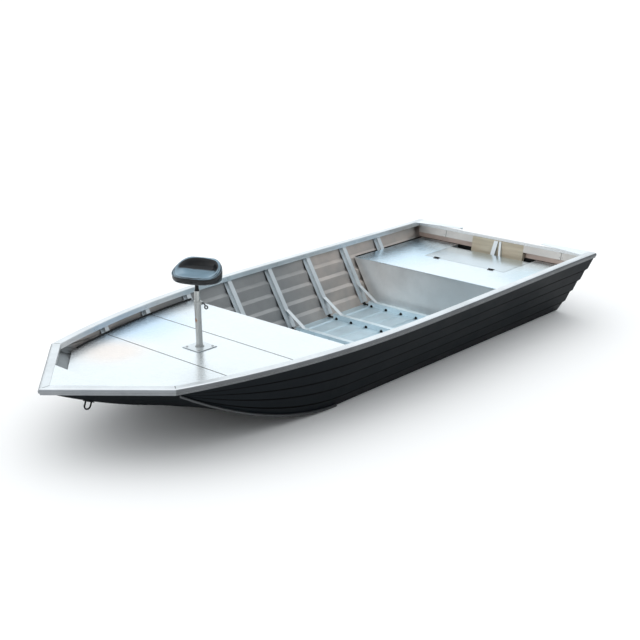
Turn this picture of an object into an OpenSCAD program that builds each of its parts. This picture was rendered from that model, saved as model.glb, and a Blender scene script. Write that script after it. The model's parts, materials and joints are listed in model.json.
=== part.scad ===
// Welded aluminium jon boat with a raised casting deck, a swivel seat on a pedestal and a stern hatch.
// X runs forward along the boat, Y to port and Z up; the floor is at Z = 0 under the bottom's ridges.

/* [Hull] */
// Length from the transom's top edge to the bow point, on the gunwale line
hull_len = 5344; // [4900:1:5800]
// Depth from the bottom sheet's underside to the gunwale's top
hull_depth = 576; // [520:1:640]
// Length of the pointed bow, from its shoulders to the bow point
bow_len = 587; // [520:1:680]
// Half breadth of the gunwale line at the stern
stern_half = 1022; // [960:1:1060]
// Half breadth of the gunwale line at its widest station
mid_half = 1057; // [1020:1:1110]
// Half breadth of the gunwale line at the shoulder
shoulder_half = 692; // [620:1:740]
// Station of the widest section
mid_station = 2450; // [2000:10:2800]
// Half width of the flat bottom at the chine
chine_half = 750; // [700:1:800]
// How far the transom's foot stands ahead of its top
transom_rake = 122; // [80:1:160]
// Thickness of the side sheets
side_t = 4; // [3:0.5:6]
// Thickness of the bottom and bow sheets
bottom_t = 4; // [3:0.5:6]

/* [Bow] */
// Station where the chines start to rise
chine_rise_x = 3250; // [3100:10:3500]
// Station where the keel line starts to rise
keel_rise_x = 3450; // [3300:10:3700]
// Distance from the bow point back to where the keel line meets the rail
nose_setback = 36; // [24:1:90]
// Power of the chine's rise
chine_power = 1.75; // [1.5:0.05:2.2]
// Power of the keel line's rise
keel_power = 1.8; // [1.5:0.05:2.2]
// Power of the gunwale's closing curve ahead of the widest station
plan_power = 2.37; // [2:0.01:2.8]
// Length of the bow cap, from the bow point to its aft edge
cap_len = 322; // [260:1:380]

/* [Side strakes] */
// Number of pressed steps in each side sheet
step_count = 4; // [3:1:4]
// Height of the first step above the chine, at the stern
step_first = 70; // [52:1:78]
// Spacing of the steps, at the stern
step_pitch = 110; // [96:1:115]
// Height of one sloping shelf, at the stern
step_rise = 23; // [16:1:36]
// How far each step stands out at the stern
step_out = 15; // [8:0.5:20]

/* [Bottom ridges] */
// Number of pressed ridges across the bottom
ridge_count = 8; // [4:2:8]
// Spacing of the ridges
ridge_pitch = 182; // [160:1:190]
// Depth of a ridge below the bottom sheet
ridge_depth = 10; // [8:0.5:16]
// Width of a ridge at its crest
ridge_crest = 26; // [20:1:34]
// Width of a ridge at its root
ridge_root = 46; // [40:1:56]
// Distance of a ridge's ends from the ends of the bottom sheet
ridge_end = 60; // [40:5:120]

/* [Gunwale] */
// Width of the rail's flat top
rail_top = 48; // [40:1:64]
// Height of the rail
rail_h = 46; // [42:1:56]
// Height of the rail's rounded outer bead
bead_h = 36; // [28:1:40]
// How far the rounded outer bead stands out from the flat top
rail_bead = 26; // [18:1:36]
// How far the rail runs past the transom's top
rail_tail = 20; // [6:1:30]
// Width of the bare strip along the rising chine
guard_w = 15; // [10:1:22]
// Height of that strip
guard_h = 20; // [14:1:28]

/* [Ribs] */
// Station of the first side rib
rib_first_x = 690; // [600:5:720]
// Spacing of the side ribs
rib_pitch = 498; // [480:1:510]
// Most side ribs on each side, fewer where the hull is too short for them
rib_count = 8; // [6:1:8]
// Least distance of a side rib aft of the bow's shoulders
rib_ahead = 500; // [450:5:600]
// Width of a rib's face
rib_w = 45; // [36:1:56]
// Width of a rib across its flanges
rib_flange_w = 84; // [70:1:100]
// Depth of a rib
rib_depth = 34; // [26:1:42]
// Sheet thickness of the ribs
rib_t = 3; // [2:0.5:4]
// Height of a floor rib
floor_rib_h = 45; // [36:1:60]
// Radius of the limber holes through the floor ribs
limber_r = 17; // [12:1:20]
// Reach of the braces between side and floor ribs
knee_reach = 130; // [90:1:170]

/* [Decks] */
// Height of the front deck's top below the gunwale's top
front_deck_drop = 91; // [80:1:130]
// Height of the rear deck's top below the gunwale's top
rear_deck_drop = 156; // [120:1:180]
// Sheet thickness of the decks and bulkheads
deck_t = 4; // [3:0.5:6]
// Gap between a deck's edge and the side
deck_gap = 50; // [40:1:70]
// How far the front deck's aft edge lies aft of the rib under it
front_deck_over = 2; // [0:1:20]
// Length of the front deck's aft sheet
aft_sheet_len = 493; // [440:1:540]
// Distance of the fore sheet's seam aft of the bow's shoulders
fore_sheet_len = 546; // [500:1:600]
// Least length of the middle sheet, which carries the pedestal
mid_sheet_min = 300; // [240:5:340]
// Width of a seam between two deck sheets
seam_gap = 5; // [1:0.5:6]
// How far the rear deck's front edge lies aft of the second rib
rear_deck_back = 99; // [90:1:140]
// Width of a deck beam
beam_w = 50; // [40:1:70]
// Depth of a deck beam
beam_h = 40; // [30:1:60]

/* [Hatch] */
// Station of the lid's hinge line
lid_hinge_x = 617; // [560:1:650]
// Length of the lid
lid_len = 425; // [380:1:480]
// Half width of the lid
lid_half = 458; // [400:1:470]
// Running gap round the lid
lid_gap = 5; // [5:0.5:8]
// Depth of the lid's turned-down edge
lid_edge = 18; // [10:1:30]
// Distance of each hinge from the centreline
hinge_y = 317; // [250:1:360]
// Length of a hinge
hinge_len = 52; // [40:1:80]
// Length of a hinge leaf from the pin
leaf_len = 20; // [14:1:36]
// Radius of a hinge knuckle
knuckle_r = 5; // [4:0.25:6]
// Radius of a hinge pin
pin_r = 2.5; // [2:0.1:3]

/* [Transom] */
// Thickness of the transom's outer sheet
transom_t = 5; // [4:0.5:8]
// Thickness of the motor board
board_t = 38; // [30:1:50]
// Half width of the motor board
board_half = 300; // [250:1:340]
// How far the transom's top lies below the gunwale's top
transom_drop = 30; // [24:1:40]
// Gap between the inner skins' lower edge and the rear deck
skin_gap = 38; // [20:1:60]
// Where the corner plates end, from the centreline
corner_end = 480; // [420:1:560]
// Length of a corner plate along the gunwale
corner_len = 130; // [100:1:170]
// Bore radius of the drain tube
drain_r = 12.7; // [10:0.1:16]

/* [Pedestal] */
// How far the pedestal stands aft of the middle sheet's centre
post_aft = 6; // [0:1:60]
// Side of the square base plate
base_side = 180; // [150:1:210]
// Thickness of the base plate
base_t = 6; // [4:0.5:10]
// Outer radius of the fixed post
post_r = 25; // [22:0.5:28]
// Height of the fixed post above the deck
post_h = 366; // [300:1:420]
// Outer radius of the sliding tube
tube_r = 21.5; // [18:0.5:22]
// Wall of the sliding tube
tube_wall = 3; // [2:0.5:5]
// Length of the sliding tube that shows above the post
tube_show = 80; // [75:1:120]
// Length of the sliding tube inside the post
tube_hide = 240; // [200:1:280]
// Running clearance between tube and post
tube_gap = 0.2; // [0.1:0.05:0.5]

/* [Seat] */
// Width of the seat
seat_w = 396; // [360:1:430]
// Depth of the seat
seat_d = 274; // [250:1:320]
// Height of the seat's front edge
seat_front_h = 53; // [46:1:66]
// Height of the seat's raised back
seat_back_h = 144; // [110:1:160]
// Height of the dish between the raised back and the front edge
seat_dish_h = 48; // [36:1:50]
// How far the seat stands back from the pedestal's axis
seat_back_set = 12; // [0:1:30]
// Height of the black neck under the seat
neck_h = 76; // [60:1:90]
// Heading of the seat at rest, from the bow towards port
seat_heading = 21; // [0:1:45]

/* [Hidden] */
$fn = 48;
// Clearance between fixed sheets that meet at an angle
fit = 0.3;
bottom_z = ridge_depth;
sheer_z = bottom_z + hull_depth;
rail_z = sheer_z - rail_h;
shoulder_x = hull_len - bow_len;
nose_x = hull_len - nose_setback;
cap_aft_x = hull_len - cap_len;
front_deck_z = sheer_z - front_deck_drop;
rear_deck_z = sheer_z - rear_deck_drop;
rake_angle = atan(transom_rake / hull_depth);
// How far the side's top edge stands outside the gunwale line
side_lap = 14;
flare = atan((stern_half + side_lap - chine_half) / (hull_depth - rail_h));
side_wall = side_t / cos(flare);
bow_normal = [shoulder_half, hull_len - shoulder_x] / norm([shoulder_half, hull_len - shoulder_x]);
bow_tip_x = hull_len + rail_bead / bow_normal[0];
mid_x = (bow_tip_x - rail_tail) / 2;
// Lofting stations of the sides aft and forward of where the chines rise, of the bow sheet and of the rails
aft_stations = 16;
fore_stations = 12;
nose_stations = 6;
rail_stations = 30;
// Bare aluminium, painted hull, vinyl and board colours
bare = [0.78, 0.79, 0.80];
paint = [0.15, 0.17, 0.18];
black = [0.05, 0.05, 0.06];
tan_board = [0.72, 0.67, 0.56];

// Hull lines
function mix(a, b, t) = a + (b - a) * t;
function smooth(t) = t * t * (3 - 2 * t);
function gunwale_y(x) =
    x < mid_station
    ? mix(stern_half, mid_half, smooth(max(0, x / mid_station)))
    : mix(mid_half, shoulder_half, pow((x - mid_station) / (shoulder_x - mid_station), plan_power));
function rise_share(x, x0, x1) = max(0, (x - x0) / (x1 - x0));
function chine_y(x) =
    x < shoulder_x
    ? mix(chine_half, shoulder_half, pow(rise_share(x, chine_rise_x, shoulder_x), 2))
    : shoulder_half * (nose_x - x) / (nose_x - shoulder_x);
function chine_z(x) =
    mix(bottom_z, rail_z - bottom_t - fit, min(1, pow(rise_share(x, chine_rise_x, shoulder_x), chine_power)));
function keel_z(x) =
    mix(bottom_z, rail_z - bottom_t - fit, pow(rise_share(x, keel_rise_x, nose_x), keel_power));
function rake_x(z) = transom_rake * (1 - (z - bottom_z) / hull_depth);

// Side sheet: share of its height and step offset at each corner, from the chine up
stern_side_h = hull_depth - rail_h - bottom_t - 2 * fit;
side_corners = concat(
    [[0, 0]],
    [for (i = [0 : step_count - 1], k = [0, 1])
        [(step_first + i * step_pitch + k * step_rise) / stern_side_h, k * step_out]],
    [[1, 0]]);
function side_foot_z(x) = chine_z(x) + bottom_t + fit;
function side_top_y(x) = gunwale_y(x) + side_lap;
function side_z(x, share) = mix(side_foot_z(x), rail_z - fit, share);
function side_height(x) = (rail_z - side_foot_z(x)) / (rail_z - side_foot_z(0));
function side_y(x, share, out) = mix(chine_y(x), side_top_y(x), share) + out * side_height(x);
// Inner face of the side at a station and height, without the steps
function inner_y(x, z) =
    side_y(x, (z - side_foot_z(x)) / (rail_z - side_foot_z(x)), 0) - side_wall;

side_end_back = 18;
side_start_on = 40;
side_end_x = shoulder_x - side_end_back;
side_start_x = transom_rake + side_start_on;
fore_xs = [for (i = [0 : fore_stations]) mix(chine_rise_x, side_end_x, i / fore_stations)];
side_xs = concat([for (i = [0 : aft_stations - 1]) mix(side_start_x, chine_rise_x, i / aft_stations)], fore_xs);

// Skins a row of rings; a strip's rings run along one face and back along the other
module loft(rings, strip = false) {
    count = len(rings[0]);
    last = len(rings) - 1;
    // The two faces of a strip are split along the same diagonals
    half = count / 2;
    function turned(j) = strip && ((j < half ? j : count - 2 - j) >= (half - 1) / 2) == (j < half);
    walls = [
        for (i = [0 : last - 1], j = [0 : count - 1], k = [0, 1])
            let (a = i * count + j, b = i * count + (j + 1) % count, c = a + count, d = b + count)
            turned(j) ? (k == 0 ? [a, b, d] : [a, d, c]) : (k == 0 ? [a, b, c] : [b, d, c])
    ];
    quads = [for (k = [0 : half - 2]) [k, k + 1, count - 2 - k, count - 1 - k]];
    caps = strip ? quads : [[for (j = [0 : count - 1]) j]];
    start_caps = [for (cap = caps) [for (k = [len(cap) - 1 : -1 : 0]) cap[k]]];
    end_caps = [for (cap = caps) [for (j = cap) last * count + j]];
    polyhedron(points = [for (ring = rings) each ring], faces = concat(start_caps, walls, end_caps));
}

module place() translate([-mid_x, 0, 0]) children();
module both_sides() {
    children();
    mirror([0, 1, 0]) children();
}
// Extrudes a Y-Z outline forward from station x
module across(x, t) translate([x, 0, 0]) rotate([90, 0, 90]) linear_extrude(t) children();
// Frame on the transom's outer face: X through it, Z up along it
module on_transom() translate([transom_rake, 0, bottom_z]) rotate([0, -rake_angle, 0]) children();

// Hull sheets
bottom_start_x = transom_rake + transom_t / cos(rake_angle) + 2 * fit;
module ridge(grow, from_x, to_x) {
    crest = ridge_crest / 2 + grow;
    root = ridge_root / 2 + grow;
    across(from_x, to_x - from_x)
        polygon([[-root, ridge_depth], [-crest, 0], [crest, 0], [root, ridge_depth]]);
}
function ridge_y(i) = (i - (ridge_count - 1) / 2) * ridge_pitch;
module each_ridge() for (i = [0 : ridge_count - 1]) translate([0, ridge_y(i), 0]) children();
module bottom_plate() color(paint) place() {
    first = bottom_start_x + ridge_end;
    last = chine_rise_x - ridge_end;
    difference() {
        union() {
            translate([bottom_start_x, -chine_half, bottom_z])
                cube([chine_rise_x - fit - bottom_start_x, 2 * chine_half, bottom_t]);
            each_ridge() ridge(0, first, last);
        }
        each_ridge() translate([0, 0, bottom_t]) ridge(0, first + bottom_t, last - bottom_t);
    }
}

bow_end_back = 12;
bow_end_x = nose_x - bow_end_back;
bow_xs = concat(fore_xs, [for (i = [0 : nose_stations]) mix(shoulder_x, bow_end_x, i / nose_stations)]);
module bow_plate() color(paint) place() {
    loft([
        for (x = bow_xs)
            let (y = chine_y(x), low = chine_z(x), keel = keel_z(x))
            [
                [x, y, low + bottom_t], [x, 0, keel + bottom_t], [x, -y, low + bottom_t],
                [x, -y, low], [x, 0, keel], [x, y, low]
            ]
    ], strip = true);
}

module side_sheet() {
    corners = len(side_corners);
    function ring(x, raked) = [
        for (k = [0 : 2 * corners - 1])
            let (
                c = side_corners[k < corners ? k : 2 * corners - 1 - k],
                z = side_z(x, c[0]),
                y = side_y(x, c[0], c[1]) - (k < corners ? 0 : side_wall))
            [raked ? rake_x(z) : x, y, z]
    ];
    loft(concat([for (i = [len(side_xs) - 1 : -1 : 0]) ring(side_xs[i], false)], [ring(0, true)]), strip = true);
}
module side_port() color(paint) place() side_sheet();
module side_starboard() color(paint) place() mirror([0, 1, 0]) side_sheet();

// Height along the transom's face of a level z
function up_transom(z) = (z - bottom_z) / cos(rake_angle);
transom_top = up_transom(sheer_z - transom_drop);
rail_inner_y = stern_half - rail_top - fit;
module transom_plate() color(paint) place() on_transom() {
    edge = [for (c = side_corners) [side_y(0, c[0], c[1]) - side_wall - 2 * fit, up_transom(side_z(0, c[0]))]];
    top = up_transom(rail_z - fit) - transom_t * tan(rake_angle);
    half = concat(
        [[edge[0][0], 0]],
        [for (p = edge) [p[0], min(p[1], top)]],
        [[rail_inner_y, top], [rail_inner_y, transom_top]]);
    difference() {
        across(0, transom_t)
            polygon(concat(half, [for (k = [len(half) - 1 : -1 : 0]) [-half[k][0], half[k][1]]]));
        translate([-1, 0, drain_up]) rotate([0, 90, 0]) cylinder(r = drain_outer_r + fit / 2, h = transom_t + 2);
    }
}

// Rails: the section is (outward from the gunwale line, up from its top)
rail_section = [
    [-rail_top, -3], [-rail_top + 3, 0], [0, 0], [rail_bead * 0.4, -1], [rail_bead * 0.7, -3.5], [rail_bead * 0.92, -9],
    [rail_bead, -bead_h * 0.45], [rail_bead * 0.96, -bead_h * 0.7], [rail_bead * 0.82, -bead_h * 0.9],
    [rail_bead * 0.6, -bead_h], [rail_bead * 0.6, -rail_h], [-rail_top + 4, -rail_h], [-rail_top + 4, -rail_h / 2 - 2],
    [-rail_top, -rail_h / 2 + 2]
];
function unit(v) = v / norm(v);
function left_of(v) = [-v[1], v[0]];
function miter(n1, n2) = (n1 + n2) / (1 + n1 * n2);
function rail_x(i) = mix(-rail_tail, shoulder_x, i / rail_stations);
rail_line = [for (i = [0 : rail_stations]) [rail_x(i), gunwale_y(rail_x(i))]];
function rail_normal(i) = left_of(unit(rail_line[i + 1] - rail_line[i]));
function rail_miter(i) =
    i == 0
    ? [0, 1]
    : i == rail_stations
    ? miter(rail_normal(i - 1), bow_normal)
    : miter(rail_normal(i - 1), rail_normal(i));
function rail_ring(at, m) = [for (p = rail_section) [at[0] + m[0] * p[0], at[1] + m[1] * p[0], sheer_z + p[1]]];
module side_rail() loft([for (i = [rail_stations : -1 : 0]) rail_ring(rail_line[i], rail_miter(i))]);
module bow_rail() {
    nose = rail_ring([hull_len, 0], [1 / bow_normal[0], 0]);
    shoulder = rail_ring([shoulder_x + fit, shoulder_half - fit], rail_miter(rail_stations));
    loft([nose, shoulder]);
}
module gunwale_port() color(bare) place() side_rail();
module gunwale_starboard() color(bare) place() mirror([0, 1, 0]) side_rail();
module bow_rail_port() color(bare) place() bow_rail();
module bow_rail_starboard() color(bare) place() mirror([0, 1, 0]) bow_rail();

module bow_cap() color(bare) place() {
    tip_x = hull_len - (rail_top + fit) / bow_normal[0];
    half = (tip_x - cap_aft_x) * bow_normal[0] / bow_normal[1];
    translate([0, 0, sheer_z - deck_t]) linear_extrude(deck_t)
        polygon([[cap_aft_x, -half], [tip_x, 0], [cap_aft_x, half]]);
}

// Strip along the rising chine: section out from the side and up from the chine
guard_low = -guard_h * 0.4;
guard_high = guard_h * 0.6;
guard_section = [
    [0, guard_low], [guard_w * 0.7, guard_low], [guard_w, -guard_h * 0.1],
    [guard_w, guard_h * 0.3], [guard_w * 0.5, guard_high], [0, guard_high]
];
function guard_y(x) =
    let (share = (chine_z(x) + guard_high - side_foot_z(x)) / (rail_z - side_foot_z(x)))
    side_y(x, share, share * stern_side_h > step_first ? step_out : 0) + fit;
module chine_guard() {
    loft([
        for (i = [fore_stations : -1 : 0])
            let (x = fore_xs[i])
            [for (p = guard_section) [x, guard_y(x) + p[0], chine_z(x) + p[1]]]
    ]);
}
module chine_guard_port() color(bare) place() chine_guard();
module chine_guard_starboard() color(bare) place() mirror([0, 1, 0]) chine_guard();

// Bow eye: a U-bolt through the keel line with a backing plate
eye_back = 369;
eye_x = hull_len - eye_back;
eye_rod = 6;
eye_r = 26;
eye_drop = 34;
eye_plate_over = 16;
eye_plate_w = 26;
eye_plate_t = 5;
module bow_eye() color(black) place() {
    slope = atan((keel_z(eye_x + 10) - keel_z(eye_x - 10)) / 20);
    translate([eye_x, 0, keel_z(eye_x)]) rotate([0, -slope, 0]) {
        translate([-eye_r - eye_plate_over, -eye_plate_w / 2, -eye_plate_t - fit])
            cube([2 * (eye_r + eye_plate_over), eye_plate_w, eye_plate_t]);
        for (side = [-1, 1])
            translate([side * eye_r, 0, -eye_drop]) cylinder(r = eye_rod, h = eye_drop - 2);
        translate([0, 0, -eye_drop]) rotate([-90, 0, 0])
            rotate_extrude(angle = 180) translate([eye_r, 0]) circle(r = eye_rod);
    }
}

// Ribs
// The front deck starts at the foremost rib that leaves room for its three sheets
seam_fore_x = shoulder_x - fore_sheet_len;
deck_room = seam_fore_x - mid_sheet_min - aft_sheet_len + front_deck_over;
front_rib = floor((deck_room - rib_first_x) / rib_pitch);
rear_rib = 1;
function rib_x(i) = rib_first_x + i * rib_pitch;
module rib_outline() {
    outer = rib_w / 2;
    wing = rib_flange_w / 2;
    polygon([
        [-wing, 0], [-outer + rib_t, 0], [-outer + rib_t, rib_depth - rib_t], [outer - rib_t, rib_depth - rib_t],
        [outer - rib_t, 0], [wing, 0], [wing, rib_t], [outer, rib_t], [outer, rib_depth], [-outer, rib_depth],
        [-outer, rib_t], [-wing, rib_t]
    ]);
}
// Clearance of a rib's flanges from the side's flats
rib_clear = 1;
rib_foot = 14;
// The foremost ribs are stubs that start this far below the front deck
stub_drop = 85;
stub_first = front_rib + 1;
rib_top_z = rail_z - rib_foot;
function rib_foot_z(i) =
    max(side_foot_z(rib_x(i) + rib_flange_w / 2) + rib_foot, i < stub_first ? 0 : front_deck_z - stub_drop);
function rib_lean(i) =
    atan((inner_y(rib_x(i), rib_top_z) - inner_y(rib_x(i), rib_foot_z(i))) / (rib_top_z - rib_foot_z(i)));
// Slope of the side along the boat at a height
function side_slope(x, z) = (inner_y(x + rib_w, z) - inner_y(x - rib_w, z)) / (2 * rib_w);
function rib_slopes(i) = [for (z = [rib_foot_z(i), rib_top_z]) side_slope(rib_x(i), z)];
function rib_seat(i) = rib_clear + rib_flange_w / 4 * abs(rib_slopes(i)[1] - rib_slopes(i)[0]);
// Inboard face of a rib at a height
function rib_face_y(i, z) = inner_y(rib_x(i), z) - (rib_seat(i) + rib_depth) / cos(rib_lean(i));
function rib_turn(i) = atan((rib_slopes(i)[0] + rib_slopes(i)[1]) / 2 * cos(rib_lean(i)));
module side_rib(i) {
    x = rib_x(i);
    foot_z = rib_foot_z(i);
    inward = rib_seat(i) + rib_depth + rib_w / 2 * abs(sin(rib_turn(i)));
    length = (rail_z - fit - foot_z - inward * sin(rib_lean(i))) / cos(rib_lean(i));
    translate([x, inner_y(x, foot_z), foot_z])
        rotate([-rib_lean(i), 0, 0])
        translate([0, -rib_seat(i), 0])
        rotate([0, 0, rib_turn(i) + 180])
        linear_extrude(length) rib_outline();
}
module side_ribs() for (i = [0 : rib_count - 1]) if (rib_x(i) < shoulder_x - rib_ahead) side_rib(i);
module side_ribs_port() color(bare) place() side_ribs();
module side_ribs_starboard() color(bare) place() mirror([0, 1, 0]) side_ribs();

floor_z = bottom_z + bottom_t;
floor_rib_half = chine_half - rib_depth - 40;
floor_rib_first = 1;
floor_rib_last = front_rib - 1;
module floor_ribs() color(bare) place() {
    for (i = [floor_rib_first : floor_rib_last]) translate([rib_x(i), 0, floor_z]) difference() {
        translate([-rib_w / 2, -floor_rib_half, 0]) cube([rib_w, 2 * floor_rib_half, floor_rib_h]);
        translate([-rib_w / 2 + rib_t, -floor_rib_half - 1, -1])
            cube([rib_w - 2 * rib_t, 2 * floor_rib_half + 2, floor_rib_h - rib_t + 1]);
        // Holes above the ridges, where the rib is long enough for them
        for (k = [0 : ridge_count - 1])
            if (abs(ridge_y(k)) + limber_r + rib_t < floor_rib_half)
                translate([-rib_w, ridge_y(k), 0]) rotate([0, 90, 0]) cylinder(r = limber_r, h = 2 * rib_w);
    }
}

// Braces: a strip from the side rib's face down to the floor rib's top
module rib_knee(i) {
    low_z = floor_z + floor_rib_h + fit;
    high_z = low_z + knee_reach;
    low_y = rib_face_y(i, low_z) - knee_reach;
    high_y = rib_face_y(i, high_z - 2 * rib_t) - 2 * fit - rib_w / 2 * abs(rib_slopes(i)[1]);
    across(rib_x(i) - rib_w / 2 + rib_t, rib_w - 2 * rib_t)
        polygon([[low_y - rib_t * 2, low_z], [low_y + rib_t, low_z], [high_y, high_z - 2 * rib_t], [high_y, high_z]]);
}
module rib_knees() color(bare) place() both_sides()
    for (i = [floor_rib_first : floor_rib_last]) rib_knee(i);

// Decks and bulkheads
module bulkhead(x, top_z) {
    low_z = floor_z;
    across(x, deck_t) polygon([
        for (side = [-1, 1], k = [0, 1])
            let (z = (side < 0) == (k == 0) ? top_z : low_z + fit)
            [side * (inner_y(x, z) - 2 * fit - deck_t), z]
    ]);
}
front_deck_x = rib_x(front_rib) - front_deck_over;
rear_deck_x = rib_x(rear_rib) - rear_deck_back;
seam_aft_x = front_deck_x + aft_sheet_len;
// Clearance of a bulkhead from the rib or the deck edge beside it
bulkhead_gap = 12;
front_bulkhead_x = rib_x(front_rib) + rib_flange_w / 2 + bulkhead_gap;
module front_bulkhead() color(bare) place() bulkhead(front_bulkhead_x, front_deck_z - deck_t);
rear_bulkhead_x = rear_deck_x - deck_t - bulkhead_gap;
module rear_bulkhead() color(bare) place() bulkhead(rear_bulkhead_x, rear_deck_z - deck_t);

// Outline of a deck sheet between two stations, following the sides
deck_steps = 8;
function deck_y(x, z) = inner_y(x, z) - deck_gap;
function deck_side(x0, x1, z) =
    [for (i = [0 : deck_steps]) let (x = mix(x0, x1, i / deck_steps)) [x, deck_y(x, z - deck_t)]];
module deck_outline(side)
    polygon(concat(side, [for (i = [len(side) - 1 : -1 : 0]) [side[i][0], -side[i][1]]]));
module deck_sheet(z) translate([0, 0, z - deck_t]) linear_extrude(deck_t) children();
module front_deck_aft() color(bare) place() deck_sheet(front_deck_z)
    deck_outline(deck_side(front_deck_x, seam_aft_x - seam_gap / 2, front_deck_z));
module front_deck_mid() color(bare) place() deck_sheet(front_deck_z)
    deck_outline(deck_side(seam_aft_x + seam_gap / 2, seam_fore_x - seam_gap / 2, front_deck_z));

// The fore sheet follows the bow rails at an inset and ends under the bow cap
fore_inset = 117;
cap_over = 88;
fore_side_back = 197;
fore_end_x = cap_aft_x + cap_over;
fore_side_x = shoulder_x - fore_side_back;
function fore_x(y) = hull_len - fore_inset / bow_normal[0] - y * bow_normal[1] / bow_normal[0];
module front_deck_fore() color(bare) place() {
    corner_y = deck_y(fore_side_x, front_deck_z - deck_t);
    bow_y = (fore_x(0) - fore_end_x) * bow_normal[0] / bow_normal[1];
    side = concat(
        deck_side(seam_fore_x + seam_gap / 2, fore_side_x, front_deck_z),
        [[fore_x(corner_y), corner_y], [fore_end_x, bow_y]]);
    deck_sheet(front_deck_z) deck_outline(side);
}

// Beams under the deck seams, open below
module deck_beam(x, half) translate([x - beam_w / 2, -half, front_deck_z - deck_t - beam_h]) difference() {
    cube([beam_w, 2 * half, beam_h]);
    translate([rib_t, -1, -1]) cube([beam_w - 2 * rib_t, 2 * half + 2, beam_h - rib_t + 1]);
}
// Half length of a beam: it stops at the ribs' faces, or at the bow sheet where that comes first
function bow_limit(x, z) = chine_y(x) * (z - bottom_t - keel_z(x)) / max(1, chine_z(x) - keel_z(x));
function beam_half(x, z) = min(inner_y(x, z) - 2 * rib_depth, bow_limit(x, z) - 2 * rib_t);
module front_deck_beams() color(bare) place()
    for (x = [seam_aft_x, seam_fore_x, fore_side_x + beam_w])
        deck_beam(x, beam_half(x + beam_w / 2, front_deck_z - deck_t - beam_h));

rear_deck_aft_x = rake_x(rear_deck_z) + (transom_t + board_t) / cos(rake_angle) + lid_gap;
lid_aft_x = lid_hinge_x - lid_gap / 2 - lid_len;
module rear_deck() color(bare) place() deck_sheet(rear_deck_z) difference() {
    deck_outline(deck_side(rear_deck_aft_x, rear_deck_x, rear_deck_z));
    translate([rear_deck_aft_x - 1, -lid_half - lid_gap])
        square([lid_hinge_x + lid_gap / 2 - rear_deck_aft_x + 1, 2 * (lid_half + lid_gap)]);
}
// Frame of beams under the hatch's edges
coaming_h = 45;
coaming_w = 30;
module hatch_coaming() color(bare) place() translate([0, 0, rear_deck_z - deck_t - coaming_h]) {
    side_y = lid_half + lid_gap;
    side_len = rear_bulkhead_x - fit - rear_deck_aft_x;
    both_sides() translate([rear_deck_aft_x, side_y, 0]) difference() {
        cube([side_len, coaming_w, coaming_h]);
        translate([-1, rib_t, -1]) cube([side_len + 2, coaming_w, coaming_h - rib_t + 1]);
    }
    translate([lid_hinge_x + lid_gap / 2, -side_y, 0]) difference() {
        cube([coaming_w, 2 * side_y, coaming_h]);
        translate([rib_t, -1, -1]) cube([coaming_w, 2 * side_y + 2, coaming_h - rib_t + 1]);
    }
}

// Hatch lid and hinges
hinge_z = rear_deck_z + knuckle_r + 0.5;
leaf_t = 2;
module hatch_lid() color(bare) place() translate([lid_aft_x, -lid_half, rear_deck_z - lid_edge]) difference() {
    cube([lid_len, 2 * lid_half, lid_edge]);
    translate([deck_t, deck_t, -1]) cube([lid_len - 2 * deck_t, 2 * (lid_half - deck_t), lid_edge - deck_t + 1]);
}
knuckle_gap = 0.5;
knuckle_len = hinge_len / 3;
module each_hinge() for (side = [-1, 1]) translate([lid_hinge_x, side * hinge_y, hinge_z]) children();
// One leaf: the sheet lies on the deck or the lid and its knuckles hold the pin
module leaf_sheet(side) {
    translate([side > 0 ? knuckle_r + 1 : -knuckle_r - 1 - leaf_len, -hinge_len / 2, rear_deck_z - hinge_z])
        cube([leaf_len, hinge_len, leaf_t]);
}
module knuckle(y, length) translate([0, y, 0]) rotate([-90, 0, 0]) cylinder(r = knuckle_r, h = length);
module hinge_leaves_deck() color(black) place() each_hinge() {
    leaf_sheet(1);
    for (y = [-hinge_len / 2, hinge_len / 2 - knuckle_len + knuckle_gap]) {
        knuckle(y, knuckle_len - knuckle_gap);
        translate([0, y, rear_deck_z - hinge_z]) cube([knuckle_r + 2, knuckle_len - knuckle_gap, leaf_t]);
    }
    translate([0, -hinge_len / 2, 0]) rotate([-90, 0, 0]) cylinder(r = pin_r, h = hinge_len);
}
module hinge_leaves_lid() color(black) place() each_hinge() difference() {
    union() {
        leaf_sheet(-1);
        knuckle(-knuckle_len / 2, knuckle_len);
        translate([-knuckle_r - 2, -knuckle_len / 2, rear_deck_z - hinge_z]) cube([knuckle_r + 2, knuckle_len, leaf_t]);
    }
    translate([0, -hinge_len / 2, 0]) rotate([-90, 0, 0]) cylinder(r = pin_r + 0.1, h = hinge_len);
}

// Transom fittings
skin_low = up_transom(rear_deck_z + skin_gap);
board_below = 120;
module motor_board() color(tan_board) place() on_transom() {
    low = up_transom(rear_deck_z - board_below);
    translate([transom_t, -board_half, low]) cube([board_t, 2 * board_half, transom_top - low]);
}
module transom_skins() color(bare) place() on_transom() both_sides()
    translate([transom_t + board_t - deck_t, board_half + fit, skin_low])
    cube([deck_t, rail_inner_y - board_half - 2 * fit, transom_top - skin_low]);
cap_lip = 22;
module transom_cap() color(bare) place() on_transom() {
    depth = transom_t + board_t + 2 * fit;
    translate([0, rail_inner_y, transom_top + fit]) rotate([90, 0, 0]) linear_extrude(2 * rail_inner_y)
        polygon([
            [-fit - deck_t, -cap_lip], [-fit, -cap_lip], [-fit, 0], [depth, 0], [depth, -cap_lip],
            [depth + deck_t, -cap_lip], [depth + deck_t, deck_t], [-fit - deck_t, deck_t]
        ]);
}
corner_tip = 40;
corner_lift = 3;
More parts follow.
